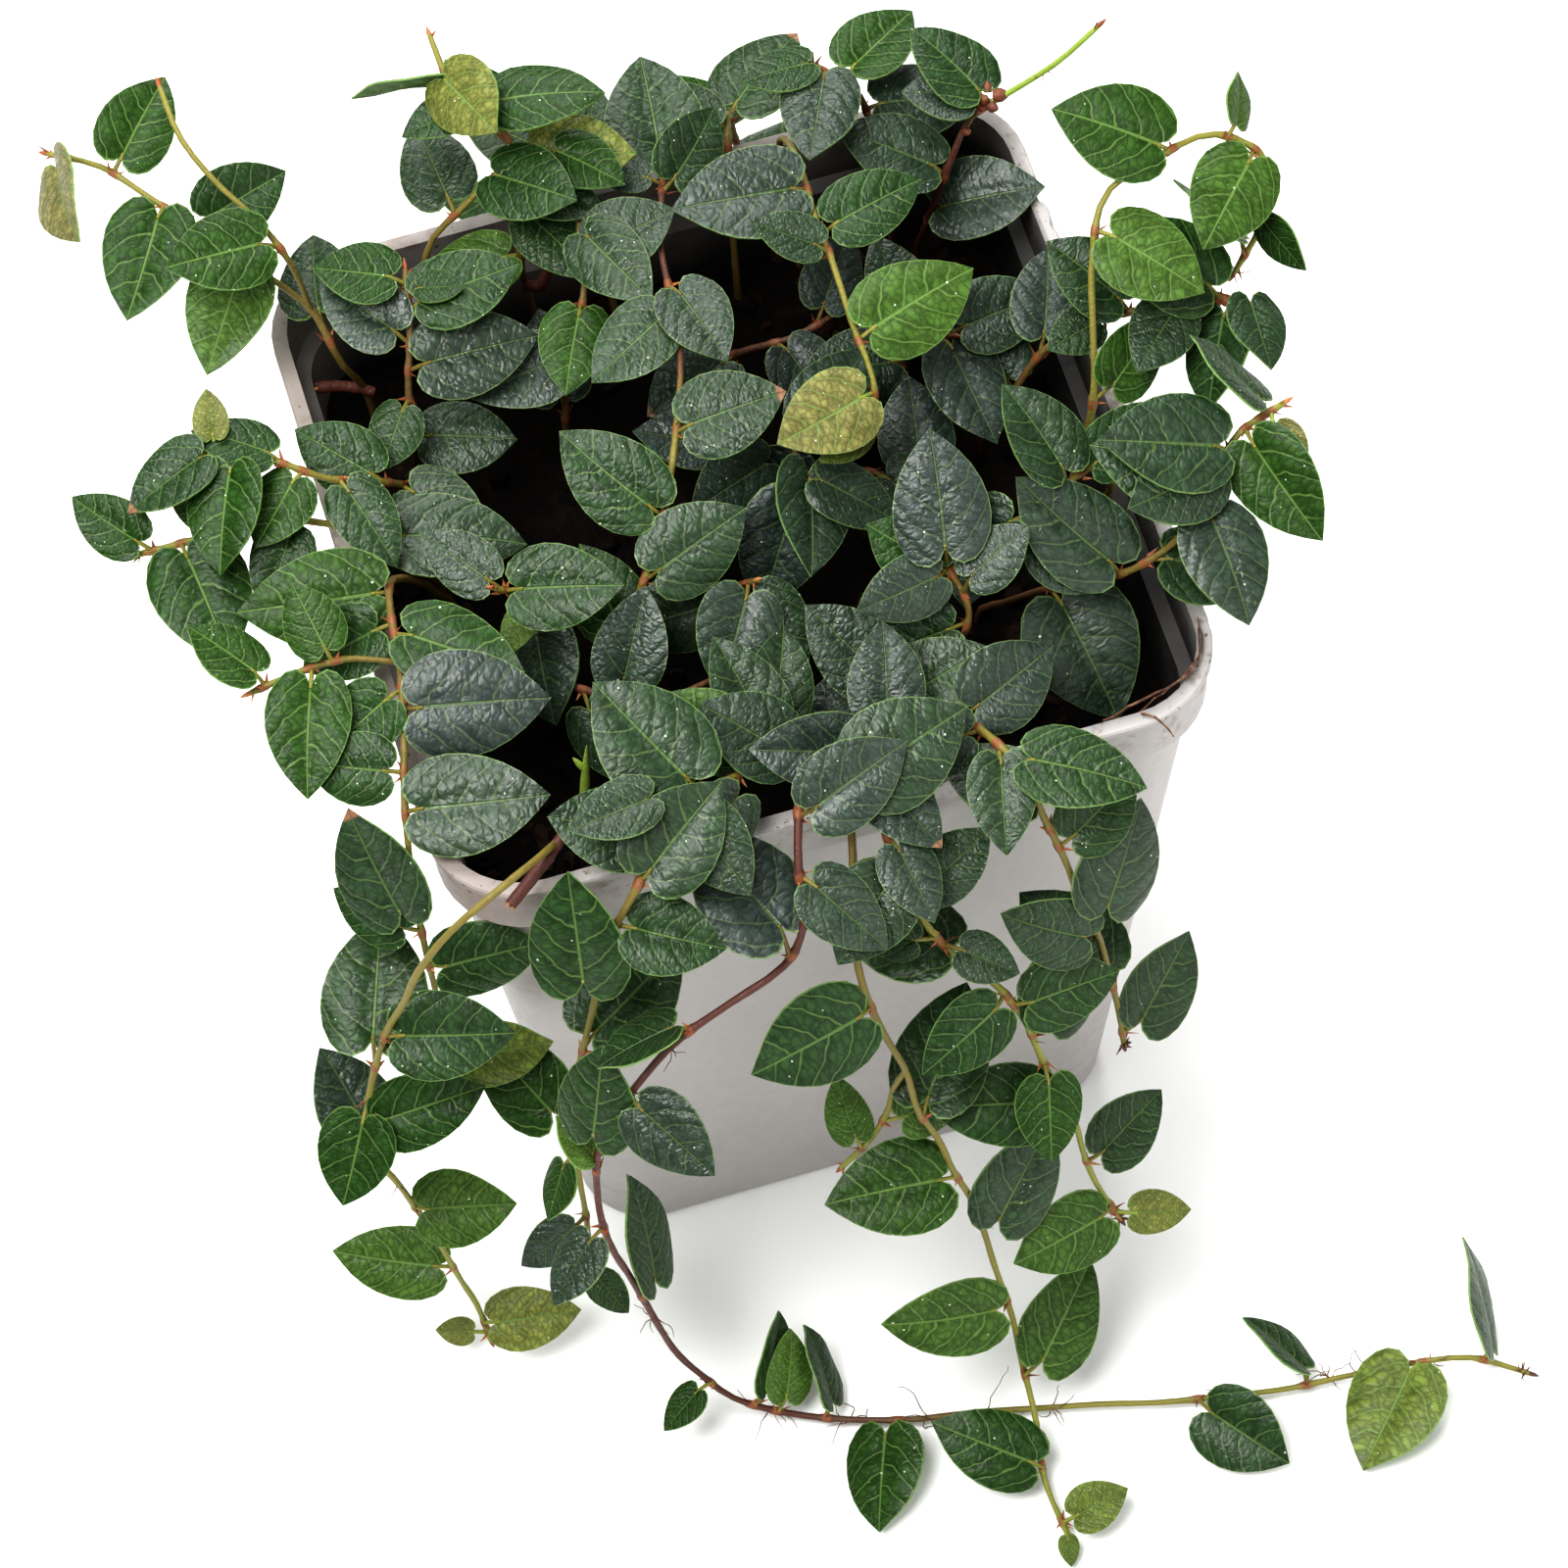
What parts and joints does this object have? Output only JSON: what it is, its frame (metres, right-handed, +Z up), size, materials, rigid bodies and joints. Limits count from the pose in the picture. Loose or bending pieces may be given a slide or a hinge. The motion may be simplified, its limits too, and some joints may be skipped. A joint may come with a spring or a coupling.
{
  "type": "potted creeping fig",
  "caption": "Small trailing plant with heart-shaped puckered leaves on thin stems, rooted in soil in a square tapered plastic pot.",
  "frame": {"origin": "centre of the pot's underside, on the surface that the pot stands on", "axes": "+Z up, -Y towards the side where the longest stems hang down, +X to the right as seen from that side; the pot's sides lie along X and Y"},
  "size_m": [0.2021, 0.2258, 0.1912],
  "materials": {
    "pot": "matt warm grey moulded plastic, a little stained with soil at the rim",
    "soil": "dark moist potting soil with crumbs of bark",
    "leaves_old": "dull dark blue-green leaves with pale veins on brown stems",
    "leaves_grown": "satin mid-green puckered leaves on brown to olive stems",
    "leaves_young": "satin yellow-green young leaves on olive stems"
  },
  "bodies": {
    "root": {"pot": "pot", "soil": "soil", "north_west_runner": "leaves_grown", "north_west_spray": "leaves_young", "north_spike": "leaves_young", "middle_creeper": "leaves_old", "young_arch": "leaves_young", "north_tuft": "leaves_old", "north_east_shoot": "leaves_old", "east_arch": "leaves_grown", "east_spray": "leaves_old", "south_east_spray": "leaves_old", "east_creeper": "leaves_old", "west_spray": "leaves_grown", "west_low_spray": "leaves_grown", "west_trailer": "leaves_grown", "south_west_trailer": "leaves_grown", "south_west_hanger": "leaves_grown", "long_runner": "leaves_grown", "south_fork": "leaves_grown", "south_east_trailer": "leaves_old", "south_trailer": "leaves_grown", "south_rim_creeper": "leaves_old", "south_centre_tuft": "leaves_old", "west_inner": "leaves_old", "west_upright": "leaves_old", "centre_west": "leaves_old", "centre_low": "leaves_old", "centre_east": "leaves_old", "east_inner": "leaves_old", "centre_south": "leaves_old", "north_trailer_west": "leaves_old", "north_trailer_east": "leaves_old", "soil_creeper_east": "leaves_old", "soil_creeper_west": "leaves_old", "soil_creeper_north": "leaves_old"}
  },
  "joints": []
}
